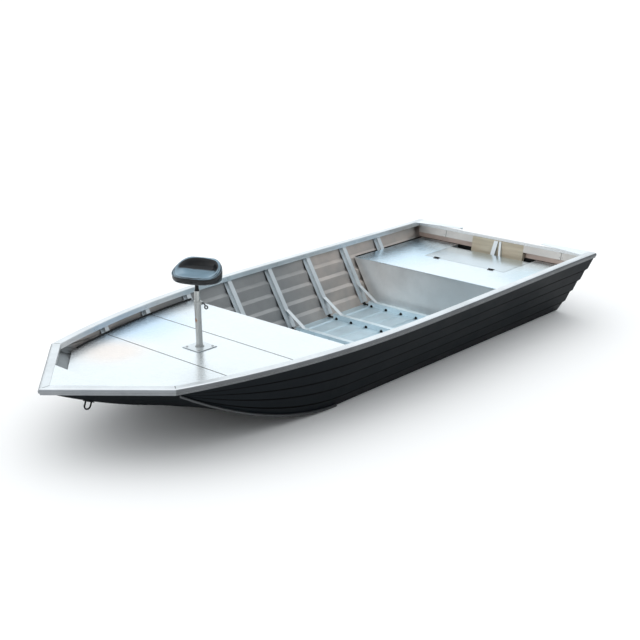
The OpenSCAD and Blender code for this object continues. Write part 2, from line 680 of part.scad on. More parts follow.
module corner_plates() color(bare) place() both_sides() {
    edge_y = rail_inner_y;
    translate([0, 0, sheer_z - deck_t]) linear_extrude(deck_t)
        polygon([[-rail_tail, corner_end], [-rail_tail, edge_y], [corner_len, edge_y], [corner_tip, corner_end]]);
    translate([-rail_tail, corner_end, sheer_z - transom_drop + deck_t + corner_lift])
        cube([deck_t, edge_y - corner_end, transom_drop - deck_t - corner_lift]);
}
// Brace of two legs up the motor board: where each leg's foot and head start and end across the boat
knee_legs = [[-44, 2, -38, 8], [52, 76, 20, 44]];
knee_foot = 42;
knee_head = 8;
knee_below = 60;
knee_back = transom_t + board_t + fit;
function knee_level(depth, from_y, to_y, up) =
    [for (p = [[0, from_y], [0, to_y], [depth, to_y], [depth, from_y]]) [knee_back + p[0], p[1], up]];
module transom_knees() color(bare) place() on_transom()
    for (leg = knee_legs)
        loft([
            knee_level(knee_foot, leg[0], leg[1], up_transom(rear_deck_z - knee_below)),
            knee_level(knee_head, leg[2], leg[3], transom_top - cap_lip - knee_head)
        ]);

drain_outer_r = drain_r + 2;
drain_up = 70;
drain_len = 40;
drain_flange = 8;
drain_flange_t = 4;
module drain_tube() color(bare) place() on_transom() translate([0, 0, drain_up]) rotate([0, 90, 0]) difference() {
    union() {
        translate([0, 0, -drain_flange_t]) cylinder(r = drain_outer_r + drain_flange, h = drain_flange_t - fit);
        translate([0, 0, -drain_flange_t]) cylinder(r = drain_outer_r, h = drain_len);
    }
    translate([0, 0, -drain_flange_t - 1]) cylinder(r = drain_r, h = drain_len + 2);
}

// Pedestal
post_x = (seam_aft_x + seam_fore_x) / 2 - post_aft;
post_top_z = front_deck_z + post_h;
tube_top_z = post_top_z + tube_show;
bore_r = tube_r + tube_gap;
module pedestal_base() color(bare) place()
    translate([post_x - base_side / 2, -base_side / 2, front_deck_z]) cube([base_side, base_side, base_t]);
collar_r = post_r + 3;
collar_h = 26;
// Weld cone at the post's foot, the closed end of its bore and the clamp's lug
foot_flare = 5;
foot_h = 22;
bore_floor = 20;
lug_w = 18;
lug_out = 12;
module pedestal_post() color(bare) place() translate([post_x, 0, front_deck_z + base_t]) difference() {
    union() {
        cylinder(r = post_r, h = post_h - base_t);
        cylinder(r1 = post_r + foot_flare, r2 = post_r + foot_flare / 5, h = foot_h);
        translate([0, 0, post_h - base_t - collar_h]) cylinder(r = collar_r, h = collar_h);
        rotate([0, 0, lever_angle]) translate([collar_r - tube_wall, -lug_w / 2, post_h - base_t - collar_h])
            cube([tube_wall + lug_out, lug_w, collar_h]);
    }
    translate([0, 0, bore_floor]) cylinder(r = bore_r, h = post_h);
}
// Clamp lever: a bolt through the collar's lug with a looped handle
lever_angle = 110;
bolt_r = 6;
bolt_len = 14;
arm_len = 22;
arm_t = 8;
loop_r = 16;
loop_hole = 8;
loop_at = 34;
lever_hang = 60;
module clamp_lever() color(bare) place()
    translate([post_x, 0, post_top_z - collar_h / 2]) rotate([0, 0, lever_angle])
    translate([collar_r + lug_out + fit, 0, 0]) {
        rotate([0, 90, 0]) cylinder(r = bolt_r, h = bolt_len);
        translate([bolt_len, 0, 0]) rotate([90, 0, 0]) rotate([0, 0, -lever_hang]) {
            translate([0, -arm_t / 2, -arm_t / 2]) cube([arm_len, arm_t, arm_t]);
            translate([loop_at, 0, -arm_t / 2]) difference() {
                cylinder(r = loop_r, h = arm_t);
                translate([0, 0, -1]) cylinder(r = loop_hole, h = arm_t + 2);
            }
        }
    }
// The tube's top is closed by a plug with the swivel's socket in it
plug_len = 20;
socket_len = 30;
module pedestal_tube() color(bare) place() translate([post_x, 0, post_top_z - tube_hide]) difference() {
    cylinder(r = tube_r, h = tube_hide + tube_show);
    translate([0, 0, -1]) cylinder(r = tube_r - tube_wall, h = tube_hide + tube_show - plug_len);
    translate([0, 0, tube_hide + tube_show - socket_len]) cylinder(r = neck_pin_r + tube_gap, h = socket_len + 1);
}
// Neck: a pin in the tube, a tapered stub and a square plate under the seat
neck_pin_r = 10;
neck_pin_len = 24;
neck_pin_in = 18;
neck_r = 14;
neck_taper = 16;
neck_lift = 0.5;
neck_plate = 170;
neck_plate_t = 6;
module seat_neck() color(black) place() translate([post_x, 0, tube_top_z]) rotate([0, 0, seat_heading]) {
    translate([0, 0, -neck_pin_in]) cylinder(r = neck_pin_r, h = neck_pin_len);
    translate([0, 0, neck_lift]) cylinder(r1 = tube_r - tube_wall, r2 = neck_r, h = neck_taper);
    translate([0, 0, neck_taper]) cylinder(r = neck_r, h = neck_h - neck_taper - neck_plate_t);
    translate([-seat_back_set - neck_plate / 2, -neck_plate / 2, neck_h - neck_plate_t])
        cube([neck_plate, neck_plate, neck_plate_t]);
}

// Seat: a rounded pad with a dish in it, higher round its back, facing its heading
seat_steps = 36;
seat_square = 0.9;
// Bearings from the front between which the edge climbs
seat_climb = [48, 156];
// Rings: share of the outline, share of the edge's height, share of the dish's level
seat_rings = [
    [0.9, 0, 0], [0.985, 0.2, 0], [1, 0.55, 0], [0.985, 0.86, 0], [0.93, 1, 0],
    [0.87, 0.97, 0.03], [0.8, 0.85, 0.4], [0.71, 0.7, 0.8], [0.5, 0, 1], [0.05, 0, 1]
];
module seat_pad() color(black) place()
    translate([post_x, 0, tube_top_z + neck_h + fit]) rotate([0, 0, seat_heading])
    translate([-seat_back_set, 0, 0]) seat_form();
function seat_edge(a) = [
    seat_d / 2 * sign(cos(a)) * pow(abs(cos(a)), seat_square),
    seat_w / 2 * sign(sin(a)) * pow(abs(sin(a)), seat_square)
];
function seat_share(a) = max(0, min(1, (min(a, 360 - a) - seat_climb[0]) / (seat_climb[1] - seat_climb[0])));
function seat_rise(a) = mix(seat_front_h, seat_back_h, smooth(seat_share(a)));
module seat_form() {
    loft([
        for (s = seat_rings) [
            for (i = [0 : seat_steps - 1])
                let (a = 360 - (i + 1) * 360 / seat_steps, e = seat_edge(a))
                [e[0] * s[0], e[1] * s[0], mix(seat_rise(a) * s[1], seat_dish_h, s[2])]
        ]
    ]);
}

bottom_plate();
bow_plate();
side_port();
side_starboard();
transom_plate();
gunwale_port();
gunwale_starboard();
bow_rail_port();
bow_rail_starboard();
bow_cap();
chine_guard_port();
chine_guard_starboard();
bow_eye();
side_ribs_port();
side_ribs_starboard();
floor_ribs();
rib_knees();
front_bulkhead();
front_deck_beams();
front_deck_aft();
front_deck_mid();
front_deck_fore();
rear_bulkhead();
rear_deck();
hatch_coaming();
hatch_lid();
hinge_leaves_deck();
hinge_leaves_lid();
motor_board();
transom_skins();
transom_cap();
corner_plates();
transom_knees();
drain_tube();
pedestal_base();
pedestal_post();
clamp_lever();
pedestal_tube();
seat_neck();
seat_pad();
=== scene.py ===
"""Looks for the jon boat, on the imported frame. Metres; X forward, Y to port, Z up."""
import json
import math
import random
from collections import namedtuple

import bpy
from mathutils import Matrix, Vector


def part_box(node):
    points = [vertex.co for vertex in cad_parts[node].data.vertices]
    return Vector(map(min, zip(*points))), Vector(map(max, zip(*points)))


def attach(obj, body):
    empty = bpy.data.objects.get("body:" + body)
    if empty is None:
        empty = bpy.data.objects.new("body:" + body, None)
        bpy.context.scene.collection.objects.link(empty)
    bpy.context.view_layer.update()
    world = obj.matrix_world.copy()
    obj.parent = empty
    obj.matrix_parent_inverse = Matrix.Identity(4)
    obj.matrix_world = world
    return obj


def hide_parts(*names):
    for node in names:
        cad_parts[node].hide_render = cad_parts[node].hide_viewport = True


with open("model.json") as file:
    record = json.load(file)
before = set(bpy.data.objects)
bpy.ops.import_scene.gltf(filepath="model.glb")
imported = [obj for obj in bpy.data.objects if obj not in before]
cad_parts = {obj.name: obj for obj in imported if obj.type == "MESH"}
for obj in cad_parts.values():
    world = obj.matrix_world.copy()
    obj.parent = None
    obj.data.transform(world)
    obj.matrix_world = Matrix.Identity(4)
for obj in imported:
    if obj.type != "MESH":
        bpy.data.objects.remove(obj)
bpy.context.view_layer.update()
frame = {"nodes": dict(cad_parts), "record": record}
NODES = frame["nodes"]
scene = bpy.context.scene
random.seed(7)
X, Y, Z = 0, 1, 2

# Places taken from the frame
JOINTS = {joint["name"]: joint for joint in frame["record"]["behaviour"]["joints"]}
MOUNTS = {mount["name"]: mount for mount in frame["record"]["mounts"]}
SWIVEL = Vector(JOINTS["seat_swivel"]["pos_m"])
TRANSOM_OUT = MOUNTS["transom_face"]["axis"]
RAKE = TRANSOM_OUT[Z] / TRANSOM_OUT[X]
DECK_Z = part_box("front_deck_mid")[1][Z]
STERN_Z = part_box("rear_deck")[1][Z]
RAIL_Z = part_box("gunwale_port")[1][Z]

# Camera at the photograph's angle: place, and the image's right, down and forward directions
CAM_AT = Vector((6.862, 6.548, 3.558))
CAM_RIGHT = Vector((-0.682798, 0.730452, -0.015033))
CAM_DOWN = Vector((0.241177, 0.205926, -0.948382))
CAM_FORWARD = Vector((-0.689652, -0.651179, -0.316774))
CAM_LENS, CAM_SENSOR = 67.71, 36
CAM_REACH = 8000
scene.view_settings.view_transform = "Standard"
cam_data = bpy.data.cameras.new("camera")
cam_data.lens = CAM_LENS
cam_data.sensor_width = CAM_SENSOR
cam_data.clip_end = CAM_REACH
camera = bpy.data.objects.new("camera", cam_data)
columns = Matrix((CAM_RIGHT, -CAM_DOWN, -CAM_FORWARD)).transposed()
camera.matrix_world = Matrix.Translation(CAM_AT) @ columns.to_4x4()
scene.collection.objects.link(camera)
scene.camera = camera


class Graph:
    """A node tree filled by calls: each adds a node and links or sets its inputs."""

    def __init__(self, tree):
        self.tree = tree
        tree.nodes.clear()

    def add(self, kind, inputs=None, **settings):
        node = self.tree.nodes.new(kind)
        for key, value in settings.items():
            setattr(node, key, value)
        for key, value in (inputs or {}).items():
            self.put(node.inputs[key], value)
        return node

    def put(self, socket, value):
        if isinstance(value, bpy.types.NodeSocket):
            self.tree.links.new(value, socket)
        else:
            socket.default_value = value

    def math(self, operation, a, b=0.0, c=0.0, clamp=False):
        node = self.add("ShaderNodeMath", {0: a, 1: b, 2: c}, operation=operation, use_clamp=clamp)
        return node.outputs[0]

    def times(self, a, b):
        return self.math("MULTIPLY", a, b)

    def noise(self, vector, scale=1.0, detail=2.0, rough=0.5):
        inputs = {"Vector": vector, "Scale": scale, "Detail": detail, "Roughness": rough}
        return self.add("ShaderNodeTexNoise", inputs).outputs["Fac"]

    def ramp(self, value, low, high):
        """Straight change from one pair of value and result to another."""
        inputs = {
            "Value": value, "From Min": low[0], "From Max": high[0], "To Min": low[1], "To Max": high[1]}
        return self.add("ShaderNodeMapRange", inputs).outputs[0]

    def between(self, value, low, high):
        """0 below low, 1 above high, smooth between them."""
        inputs = {"Value": value, "From Min": low, "From Max": high}
        return self.add("ShaderNodeMapRange", inputs, interpolation_type="SMOOTHSTEP").outputs[0]

    def near(self, place, centre, full, outer):
        """1 within the full reach of a point, fading to 0 at the outer one."""
        away = self.add("ShaderNodeVectorMath", {0: place, 1: centre}, operation="DISTANCE").outputs["Value"]
        inputs = {"Value": away, "From Min": full, "From Max": outer, "To Min": 1.0, "To Max": 0.0}
        return self.add("ShaderNodeMapRange", inputs, interpolation_type="SMOOTHSTEP").outputs[0]

    def blend(self, fac, a, b):
        """Colour a, or b where the factor is 1."""
        return self.add("ShaderNodeMix", {0: fac, 6: a, 7: b}, data_type="RGBA").outputs[2]

    def mix(self, fac, a, b):
        """Shader a, or b where the factor is 1."""
        return self.add("ShaderNodeMixShader", {0: fac, 1: a, 2: b}).outputs[0]

    def shader(self, inputs):
        return self.add("ShaderNodeBsdfPrincipled", inputs).outputs[0]

    def axes(self, vector):
        return self.add("ShaderNodeSeparateXYZ", {0: vector}).outputs

    def normal(self, kind):
        """The surface's direction: Normal as it is shaded, True Normal as its faces lie."""
        return self.add("ShaderNodeNewGeometry").outputs[kind]

    def facing(self, normal, outward):
        inputs = {0: normal, 1: outward}
        return self.add("ShaderNodeVectorMath", inputs, operation="DOT_PRODUCT").outputs["Value"]

    def stretch(self, vector, scale):
        return self.add("ShaderNodeMapping", {"Vector": vector, "Scale": scale}).outputs[0]

    def bump(self, height, strength, distance):
        inputs = {"Height": height, "Strength": strength, "Distance": distance}
        return self.add("ShaderNodeBump", inputs).outputs[0]


def rgb(r, g, b):
    """A colour given as it is seen, 0 to 255, as linear values."""
    def linear(v):
        v /= 255
        return v / 12.92 if v <= 0.04045 else ((v + 0.055) / 1.055) ** 2.4
    return (linear(r), linear(g), linear(b), 1)


def toned(colour, gain, lift=0.0):
    """A colour made paler or darker, at most white."""
    return (*[min(1, v * gain + lift) for v in colour[:3]], 1)


def new_material(name):
    """An empty material, with its graph, its surface socket and the place on the part."""
    mat = bpy.data.materials.new(name)
    mat.use_nodes = True
    g = Graph(mat.node_tree)
    surface = g.add("ShaderNodeOutputMaterial").inputs[0]
    place = g.add("ShaderNodeTexCoord").outputs["Object"]
    return mat, g, surface, place


# Bare sheet: noise scales of its marks, first across and then along the rolling where there are two
STREAKS, SCRATCHES = (900.0, 9.0), (160.0, 2.5)
SMUDGES, CLOUDS = 3.2, 9.0
CLOUD_STRETCH = (1.0, 1.7, 1.0)
PALE_GAIN, DULL_LOSS, SCRATCH_GAIN = 0.06, 0.14, 0.12
STREAK_ROUGH, CLOUD_ROUGH = (-0.05, 0.06), (-0.05, 0.07)
STREAK_RELIEF, CLOUD_RELIEF = 0.5, 0.6
SHEET_BUMP, SHEET_DEPTH = 0.12, 0.0006


def rolled(g, place, along, scales):
    """The place, scaled differently along one axis, as rolling marks are."""
    scale = [scales[0]] * 3
    scale[along] = scales[1]
    return g.stretch(place, scale)


def aluminium_shader(g, place, along, tone, rough, mottle=1.0, patch=None, metal=1.0):
    """Mill-finish sheet: rolling streaks along one axis, handling smudges and faint scratches."""
    streaks = g.noise(rolled(g, place, along, STREAKS), detail=3.0, rough=0.6)
    smudge = g.noise(place, SMUDGES, detail=4.0, rough=0.62)
    cloud = g.noise(g.stretch(place, CLOUD_STRETCH), CLOUDS, detail=3.0, rough=0.55)
    lines = g.noise(rolled(g, place, along, SCRATCHES), detail=1.0)
    scratch = g.ramp(lines, (0.70, 0.0), (0.78, 1.0))
    pale = toned(tone, 1 + PALE_GAIN * mottle)
    dull = toned(tone, 1 - DULL_LOSS * mottle)
    colour = g.blend(g.ramp(smudge, (0.3, 0.0), (0.7, 1.0)), dull, pale)
    colour = g.blend(g.times(scratch, SCRATCH_GAIN), colour, pale)
    if patch:
        colour = patch(g, place, colour)
    streak_rough = g.ramp(streaks, (0.3, rough + STREAK_ROUGH[0]), (0.7, rough + STREAK_ROUGH[1]))
    cloud_rough = g.ramp(cloud, (0.35, CLOUD_ROUGH[0] * mottle), (0.65, CLOUD_ROUGH[1] * mottle))
    height = g.math("ADD", g.times(streaks, STREAK_RELIEF), g.times(cloud, CLOUD_RELIEF * mottle))
    return g.shader({
        "Base Color": colour,
        "Metallic": metal,
        "Roughness": g.math("ADD", streak_rough, cloud_rough, clamp=True),
        "Normal": g.bump(height, SHEET_BUMP, SHEET_DEPTH)})


def aluminium(name, along, tone, rough, mottle=1.0, patch=None, metal=1.0):
    mat, g, surface, place = new_material(name)
    g.put(surface, aluminium_shader(g, place, along, tone, rough, mottle, patch, metal))
    return mat


# Painted shade, painted reflections and rust stains: each function takes the clean colour and gives it back
# changed in some places
# Painted shade: near-black sheet inside the floor ribs and in the closed stern locker, where little light
# reaches
PAINTED_SHADE = (0.02, 0.021, 0.021, 1)
RIB_COUNT, RIB_HALF, RIB_INSIDE = 4, 0.0225, 0.0206
RIB_SHADE_DOWN = 0.009
rib_low, rib_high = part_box("floor_ribs")
RIB_FIRST = rib_low[X] + RIB_HALF
RIB_PITCH = (rib_high[X] - RIB_HALF - RIB_FIRST) / (RIB_COUNT - 1)


def rib_painted_shade(g, place, colour):
    """Near-black inside the floor ribs as painted shade, which shows through their limber holes."""
    axes = g.axes(place)
    inside = 0.0
    for k in range(RIB_COUNT):
        here = g.math("COMPARE", axes[X], RIB_FIRST + k * RIB_PITCH, RIB_INSIDE)
        inside = g.math("MAXIMUM", inside, here)
    low = g.math("LESS_THAN", axes[Z], rib_high[Z] - RIB_SHADE_DOWN)
    return g.blend(g.times(inside, low), colour, PAINTED_SHADE)


BILGE_IN = 0.004
BILGE_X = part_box("rear_bulkhead")[0][X] - BILGE_IN
BILGE_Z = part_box("rear_deck")[0][Z] - BILGE_IN
LOCKER_FADE = (1.85, 1.95)
LOCKER_DULL = (0.30, 0.32, 0.33, 1)


def hollow_painted_shade(g, place, colour):
    """Near-black sheet as painted shade in the closed stern locker and inside the floor ribs, and duller
    sheet in the nose.
    """
    colour = rib_painted_shade(g, place, colour)
    axes = g.axes(place)
    aft = g.math("LESS_THAN", axes[X], BILGE_X)
    low = g.math("LESS_THAN", axes[Z], BILGE_Z)
    colour = g.blend(g.times(aft, low), colour, PAINTED_SHADE)
    return g.blend(g.between(axes[X], *LOCKER_FADE), colour, LOCKER_DULL)


# Painted warm reflection on the inner sides, brownish, forward and aft
WARM_REFLECTION = (0.60, 0.53, 0.48, 1)
WARM_SCALE = 2.6
WARM_FORE, WARM_FORE_SHARE = (0.6, 1.1), 0.75
WARM_AFT = (-1.25, -0.55)


def side_painted_reflection(g, place, colour):
    """Painted warm reflection on the inner sides, brownish, above the front deck and near the stern."""
    x = g.axes(place)[X]
    fore = g.times(g.between(x, *WARM_FORE), WARM_FORE_SHARE)
    aft = g.math("SUBTRACT", 1.0, g.between(x, *WARM_AFT))
    cloud = g.ramp(g.noise(place, WARM_SCALE, detail=3.0, rough=0.55), (0.34, 0.35), (0.62, 1.0))
    tint = g.times(g.math("MAXIMUM", fore, aft), cloud)
    return hollow_painted_shade(g, place, g.blend(tint, colour, WARM_REFLECTION))


# A round tint: its centre, how far it is full and where it ends, its strength and its colour
RoundTint = namedtuple("RoundTint", "centre full outer strength colour")
# Painted reflections of the surroundings: blue and straw on the front deck, blue and a dimmer blue-grey on
# the rear deck
DECK_BLUE_REFLECTION = RoundTint((1.25, -0.80, DECK_Z), 0.12, 0.62, 0.60, (0.52, 0.75, 0.97, 1))
DECK_STRAW_REFLECTION = RoundTint((1.75, -0.42, DECK_Z), 0.08, 0.40, 0.50, (0.93, 0.74, 0.62, 1))
STERN_BLUE_REFLECTION = RoundTint((-2.0, -0.85, STERN_Z), 0.30, 0.75, 0.85, (0.70, 0.88, 1.0, 1))
STERN_DIM_REFLECTION = RoundTint((-2.1, 0.72, STERN_Z), 0.10, 0.42, 0.60, (0.52, 0.66, 0.73, 1))
COLLAR_RUST = RoundTint(SWIVEL + Vector((0.01405, -0.0200, -0.036)), 0.003, 0.010, 0.8, rgb(150, 118, 60))


def round_tinted(g, place, colour, tint):
    fac = g.times(g.near(place, tint.centre, tint.full, tint.outer), tint.strength)
    return g.blend(fac, colour, tint.colour)


def deck_painted_reflection(g, place, colour):
    """Painted reflections on the deck sheet: faint blue and straw tints."""
    return round_tinted(g, place, round_tinted(g, place, colour, DECK_BLUE_REFLECTION), DECK_STRAW_REFLECTION)


def stern_painted_reflection(g, place, colour):
    """Painted reflections on the rear deck, bluest in its starboard corner and dimmer along the port side.
    """
    return round_tinted(g, place, round_tinted(g, place, colour, STERN_BLUE_REFLECTION), STERN_DIM_REFLECTION)


# Painted shade on the bulkheads, darker towards port
WALL_FADE, WALL_SHARE = (-0.55, 0.35), 0.75
WALL_SHADE_TONE = (0.50, 0.53, 0.54, 1)


def wall_shade(g, place, colour):
    """Darker towards port, as painted shade."""
    fac = g.times(g.between(g.axes(place)[Y], *WALL_FADE), WALL_SHARE)
    return g.blend(fac, colour, WALL_SHADE_TONE)


RUST_AT = SWIVEL + Vector((0.02445, -0.0053, -0.226))
RUST_FULL, RUST_OUTER = 0.010, 0.022
RUST_SCALE = 150.0
RUST = rgb(164, 98, 38)


def post_rust(g, place, colour):
    """A few rust-brown stains on the post, and one below the collar."""
    spots = g.ramp(g.noise(place, RUST_SCALE, detail=3.0), (0.34, 0.0), (0.50, 1.0))
    fac = g.times(g.near(place, RUST_AT, RUST_FULL, RUST_OUTER), spots)
    return round_tinted(g, place, g.blend(fac, colour, RUST), COLLAR_RUST)


# Paint: its noise scales, its colours, and the level of a face below which it is in the shade of a lap
PEEL, DRIFT, SPECKS = 420.0, 2.4, 140.0
PAINT = rgb(14, 19, 23)
SPECK, SPECK_SHARE = rgb(96, 102, 106), 0.10
DUST_GAIN, DUST_LIFT = 1.25, 0.002
LAP_SHADE = rgb(2, 2, 3)
KEEL_SHADE = rgb(17, 21, 24)
LAP_LEVELS = (-0.66, -0.56)
PAINT_EDGE = -0.02


def paint_shader(g, place, under):
    """Satin dark paint with a faint orange peel, dust and specks; where it faces down, a matt shade."""
    drift = g.noise(place, DRIFT, detail=4.0, rough=0.6)
    specks = g.ramp(g.noise(place, SPECKS, detail=1.0), (0.74, 0.0), (0.80, 1.0))
    dusty = toned(PAINT, DUST_GAIN, DUST_LIFT)
    colour = g.blend(g.ramp(drift, (0.35, 0.0), (0.72, 0.8)), PAINT, dusty)
    colour = g.blend(g.times(specks, SPECK_SHARE), colour, SPECK)
    panel = g.between(g.axes(g.normal("True Normal"))[Z], *LAP_LEVELS)
    satin = g.ramp(drift, (0.3, 0.40), (0.7, 0.54))
    return g.shader({
        "Base Color": g.blend(panel, under, colour),
        "Roughness": g.math("MAXIMUM", satin, g.math("SUBTRACT", 1.0, panel)),
        "Specular IOR Level": 0.06,
        "Normal": g.bump(g.noise(place, PEEL), strength=0.10, distance=0.0004)})


def painted_sheet(name, outward, along, inside, rough, patch=hollow_painted_shade, under=LAP_SHADE):
    """Paint where the sheet faces outward, bare aluminium inside."""
    mat, g, surface, place = new_material(name)
    outside = g.math("GREATER_THAN", g.facing(g.normal("True Normal"), outward), PAINT_EDGE)
    bare = aluminium_shader(g, place, along, inside, rough, patch=patch)
    g.put(surface, g.mix(outside, bare, paint_shader(g, place, under)))
    return mat


# Rails: where a rail faces outward its bead takes a darker tone as painted shade
RAIL_TONE, RAIL_ROUGH, BEAD_ROUGH = (0.76, 0.785, 0.80), 0.33, 0.50
BEAD_FROM, BEAD_FULL = 0.40, 0.62


def railing(name, outward, along, bead_shade_tone):
    """Bright flat top; where the rail faces outward, a rougher bead darkened as painted shade."""
    mat, g, surface, place = new_material(name)
    outer = g.ramp(g.facing(g.normal("Normal"), outward), (BEAD_FROM, 0.0), (BEAD_FULL, 1.0))
    top = aluminium_shader(g, place, along, RAIL_TONE, RAIL_ROUGH)
    shaded_bead = aluminium_shader(g, place, along, bead_shade_tone, BEAD_ROUGH)
    g.put(surface, g.mix(outer, top, shaded_bead))
    return mat


# Dark parts: noise scale of their wear, and what it does to the colour and the roughness
WEAR = 25.0
WEAR_GAIN, WEAR_LIFT = 1.8, 0.004
WEAR_ROUGH = (-0.06, 0.08)


def dark_finish(name, colour, rough, grain):
    """Dark coating, plastic or sealant with a fine grain, paler and rougher where it is worn."""
    mat, g, surface, place = new_material(name)
    wear = g.noise(place, WEAR, detail=3.0)
    worn = toned(colour, WEAR_GAIN, WEAR_LIFT)
    g.put(surface, g.shader({
        "Base Color": g.blend(g.ramp(wear, (0.4, 0.0), (0.75, 1.0)), colour, worn),
        "Roughness": g.ramp(wear, (0.3, rough + WEAR_ROUGH[0]), (0.7, rough + WEAR_ROUGH[1])),
        "Specular IOR Level": 0.22,
        "Normal": g.bump(g.noise(place, grain, detail=3.0), strength=0.25, distance=0.0004)}))
    return mat


# Vinyl: faces that look up are paler, a painted reflection of the sky
VINYL, VINYL_WORN, VINYL_SKY_REFLECTION = rgb(10, 12, 15), rgb(19, 23, 27), rgb(136, 162, 178)
VINYL_GRAIN, VINYL_FOLDS, VINYL_WEAR = 900.0, 22.0, 9.0
GRAIN_RELIEF, FOLD_RELIEF = 0.25, 1.6
REFLECTION_LEVELS = (0.66, 0.985)


def vinyl_material():
    """Glossy marine vinyl: fine leather grain under a clear coat; faces that look up are paler as a painted
    reflection of the sky.
    """
    mat, g, surface, place = new_material("vinyl")
    grain = g.add("ShaderNodeTexVoronoi", {"Vector": place, "Scale": VINYL_GRAIN}).outputs["Distance"]
    fold = g.noise(place, VINYL_FOLDS, detail=3.0)
    worn = g.noise(place, VINYL_WEAR, detail=4.0, rough=0.6)
    colour = g.blend(g.ramp(worn, (0.38, 0.0), (0.7, 1.0)), VINYL, VINYL_WORN)
    level = g.between(g.axes(g.normal("Normal"))[Z], *REFLECTION_LEVELS)
    painted_reflection = g.times(level, g.ramp(worn, (0.25, 1.0), (0.8, 0.8)))
    height = g.math("ADD", g.times(grain, GRAIN_RELIEF), g.times(fold, FOLD_RELIEF))
    g.put(surface, g.shader({
        "Base Color": g.blend(painted_reflection, colour, VINYL_SKY_REFLECTION),
        "Roughness": g.ramp(worn, (0.3, 0.34), (0.7, 0.44)),
        "Specular IOR Level": 0.10,
        "Coat Weight": 0.6,
        "Coat Roughness": 0.10,
        "Coat IOR": 1.5,
        "Normal": g.bump(height, strength=0.16, distance=0.0008)}))
    return mat


BOARD_DARK, BOARD_PALE, BOARD_STAIN = rgb(176, 166, 144), rgb(206, 197, 176), rgb(196, 172, 146)
BOARD_GRAIN, BOARD_PATCHES = (60.0, 2.0, 26.0), 5.0


def board_material():
    """Pale wooden board with its grain across the boat, and stains."""
    mat, g, surface, place = new_material("board")
    grain = g.noise(g.stretch(place, BOARD_GRAIN), detail=5.0, rough=0.6)
    stain = g.ramp(g.noise(place, BOARD_PATCHES, detail=3.0), (0.4, 0.0), (0.8, 0.6))
    colour = g.blend(g.ramp(grain, (0.3, 0.0), (0.7, 1.0)), BOARD_DARK, BOARD_PALE)
    g.put(surface, g.shader({
        "Base Color": g.blend(stain, colour, BOARD_STAIN),
        "Roughness": g.ramp(grain, (0.3, 0.48), (0.7, 0.62)),
        "Normal": g.bump(grain, strength=0.2, distance=0.0006)}))
    return mat


def dress(mat, *nodes):
    for node in nodes:
        mesh = NODES[node].data
        mesh.materials.clear()
        mesh.materials.append(mat)


# Painted sheets and rails, with the direction that each faces outward
# The inner sides' dark grey tone is a painted reflection of the darker surroundings
SIDE_INSIDE, SIDE_ROUGH = (0.33, 0.335, 0.335), 0.40
FLOOR_INSIDE, FLOOR_ROUGH = (0.58, 0.70, 0.76), 0.50
TRANSOM_INSIDE, TRANSOM_ROUGH = (0.62, 0.50, 0.44), 0.45
PORT, STARBOARD, DOWN, AFT = (0, 1, 0), (0, -1, 0), (0, 0, -1), (-1, 0, 0)
BOW_PORT, BOW_STARBOARD = (0.7626, 0.6469, 0), (0.7626, -0.6469, 0)
# Tones of the rails' outer bead, darkened as painted shade, less on the bow rails
SIDE_BEAD_SHADE, BOW_BEAD_SHADE = (0.17, 0.178, 0.185), (0.30, 0.315, 0.33)
dress(painted_sheet("paint_port", PORT, X, SIDE_INSIDE, SIDE_ROUGH, side_painted_reflection), "side_port")
dress(painted_sheet("paint_starboard", STARBOARD, X, SIDE_INSIDE, SIDE_ROUGH, side_painted_reflection), "side_starboard")
dress(painted_sheet("paint_bottom", DOWN, X, FLOOR_INSIDE, FLOOR_ROUGH, under=KEEL_SHADE),
      "bottom_plate", "bow_plate")
dress(painted_sheet("paint_transom", AFT, Y, TRANSOM_INSIDE, TRANSOM_ROUGH), "transom_plate")
dress(railing("rail_port", PORT, X, SIDE_BEAD_SHADE), "gunwale_port")
dress(railing("rail_starboard", STARBOARD, X, SIDE_BEAD_SHADE), "gunwale_starboard")
dress(railing("rail_bow_port", BOW_PORT, Y, BOW_BEAD_SHADE), "bow_rail_port")
dress(railing("rail_bow_starboard", BOW_STARBOARD, Y, BOW_BEAD_SHADE), "bow_rail_starboard")

# Bare metal
dress(aluminium("deck_metal", Y, tone=(0.84, 0.875, 0.89), rough=0.26, mottle=0.22, patch=deck_painted_reflection),
      "bow_cap", "front_deck_aft", "front_deck_mid", "front_deck_fore", "corner_plates", "transom_cap")
dress(aluminium("stern_metal", Y, tone=(0.80, 0.87, 0.91), rough=0.26, mottle=0.22, patch=stern_painted_reflection),
      "rear_deck")
dress(aluminium("lid_metal", Y, tone=(0.61, 0.68, 0.72), rough=0.20, mottle=0.2), "hatch_lid")
dress(aluminium("base_metal", X, tone=(0.70, 0.74, 0.755), rough=0.30, mottle=0.3), "pedestal_base")
dress(aluminium("rib_metal", Z, tone=(0.66, 0.70, 0.72), rough=0.40),
      "side_ribs_port", "side_ribs_starboard", "rib_knees", "transom_knees")
dress(aluminium("floor_metal", Y, tone=(0.80, 0.90, 0.95), rough=0.45, patch=rib_painted_shade),
      "floor_ribs", "front_deck_beams", "hatch_coaming")
dress(aluminium("wall_metal", Y, tone=(0.92, 0.92, 0.91), rough=0.46, patch=wall_shade, metal=0.72),
      "front_bulkhead", "rear_bulkhead")
dress(aluminium("skin_metal", Y, tone=(0.74, 0.71, 0.67), rough=0.42), "transom_skins")
dress(aluminium("post_metal", Z, tone=(0.52, 0.53, 0.52), rough=0.28, patch=post_rust),
      "pedestal_post", "pedestal_tube", "drain_tube")
dress(aluminium("dark_steel", Z, tone=(0.10, 0.105, 0.11), rough=0.38), "clamp_lever")
# Chine guards: bare aluminium given a near-black tone as painted shade under the hull
dress(aluminium("chine_painted_shade", X, tone=(0.10, 0.105, 0.11), rough=0.55),
      "chine_guard_port", "chine_guard_starboard")

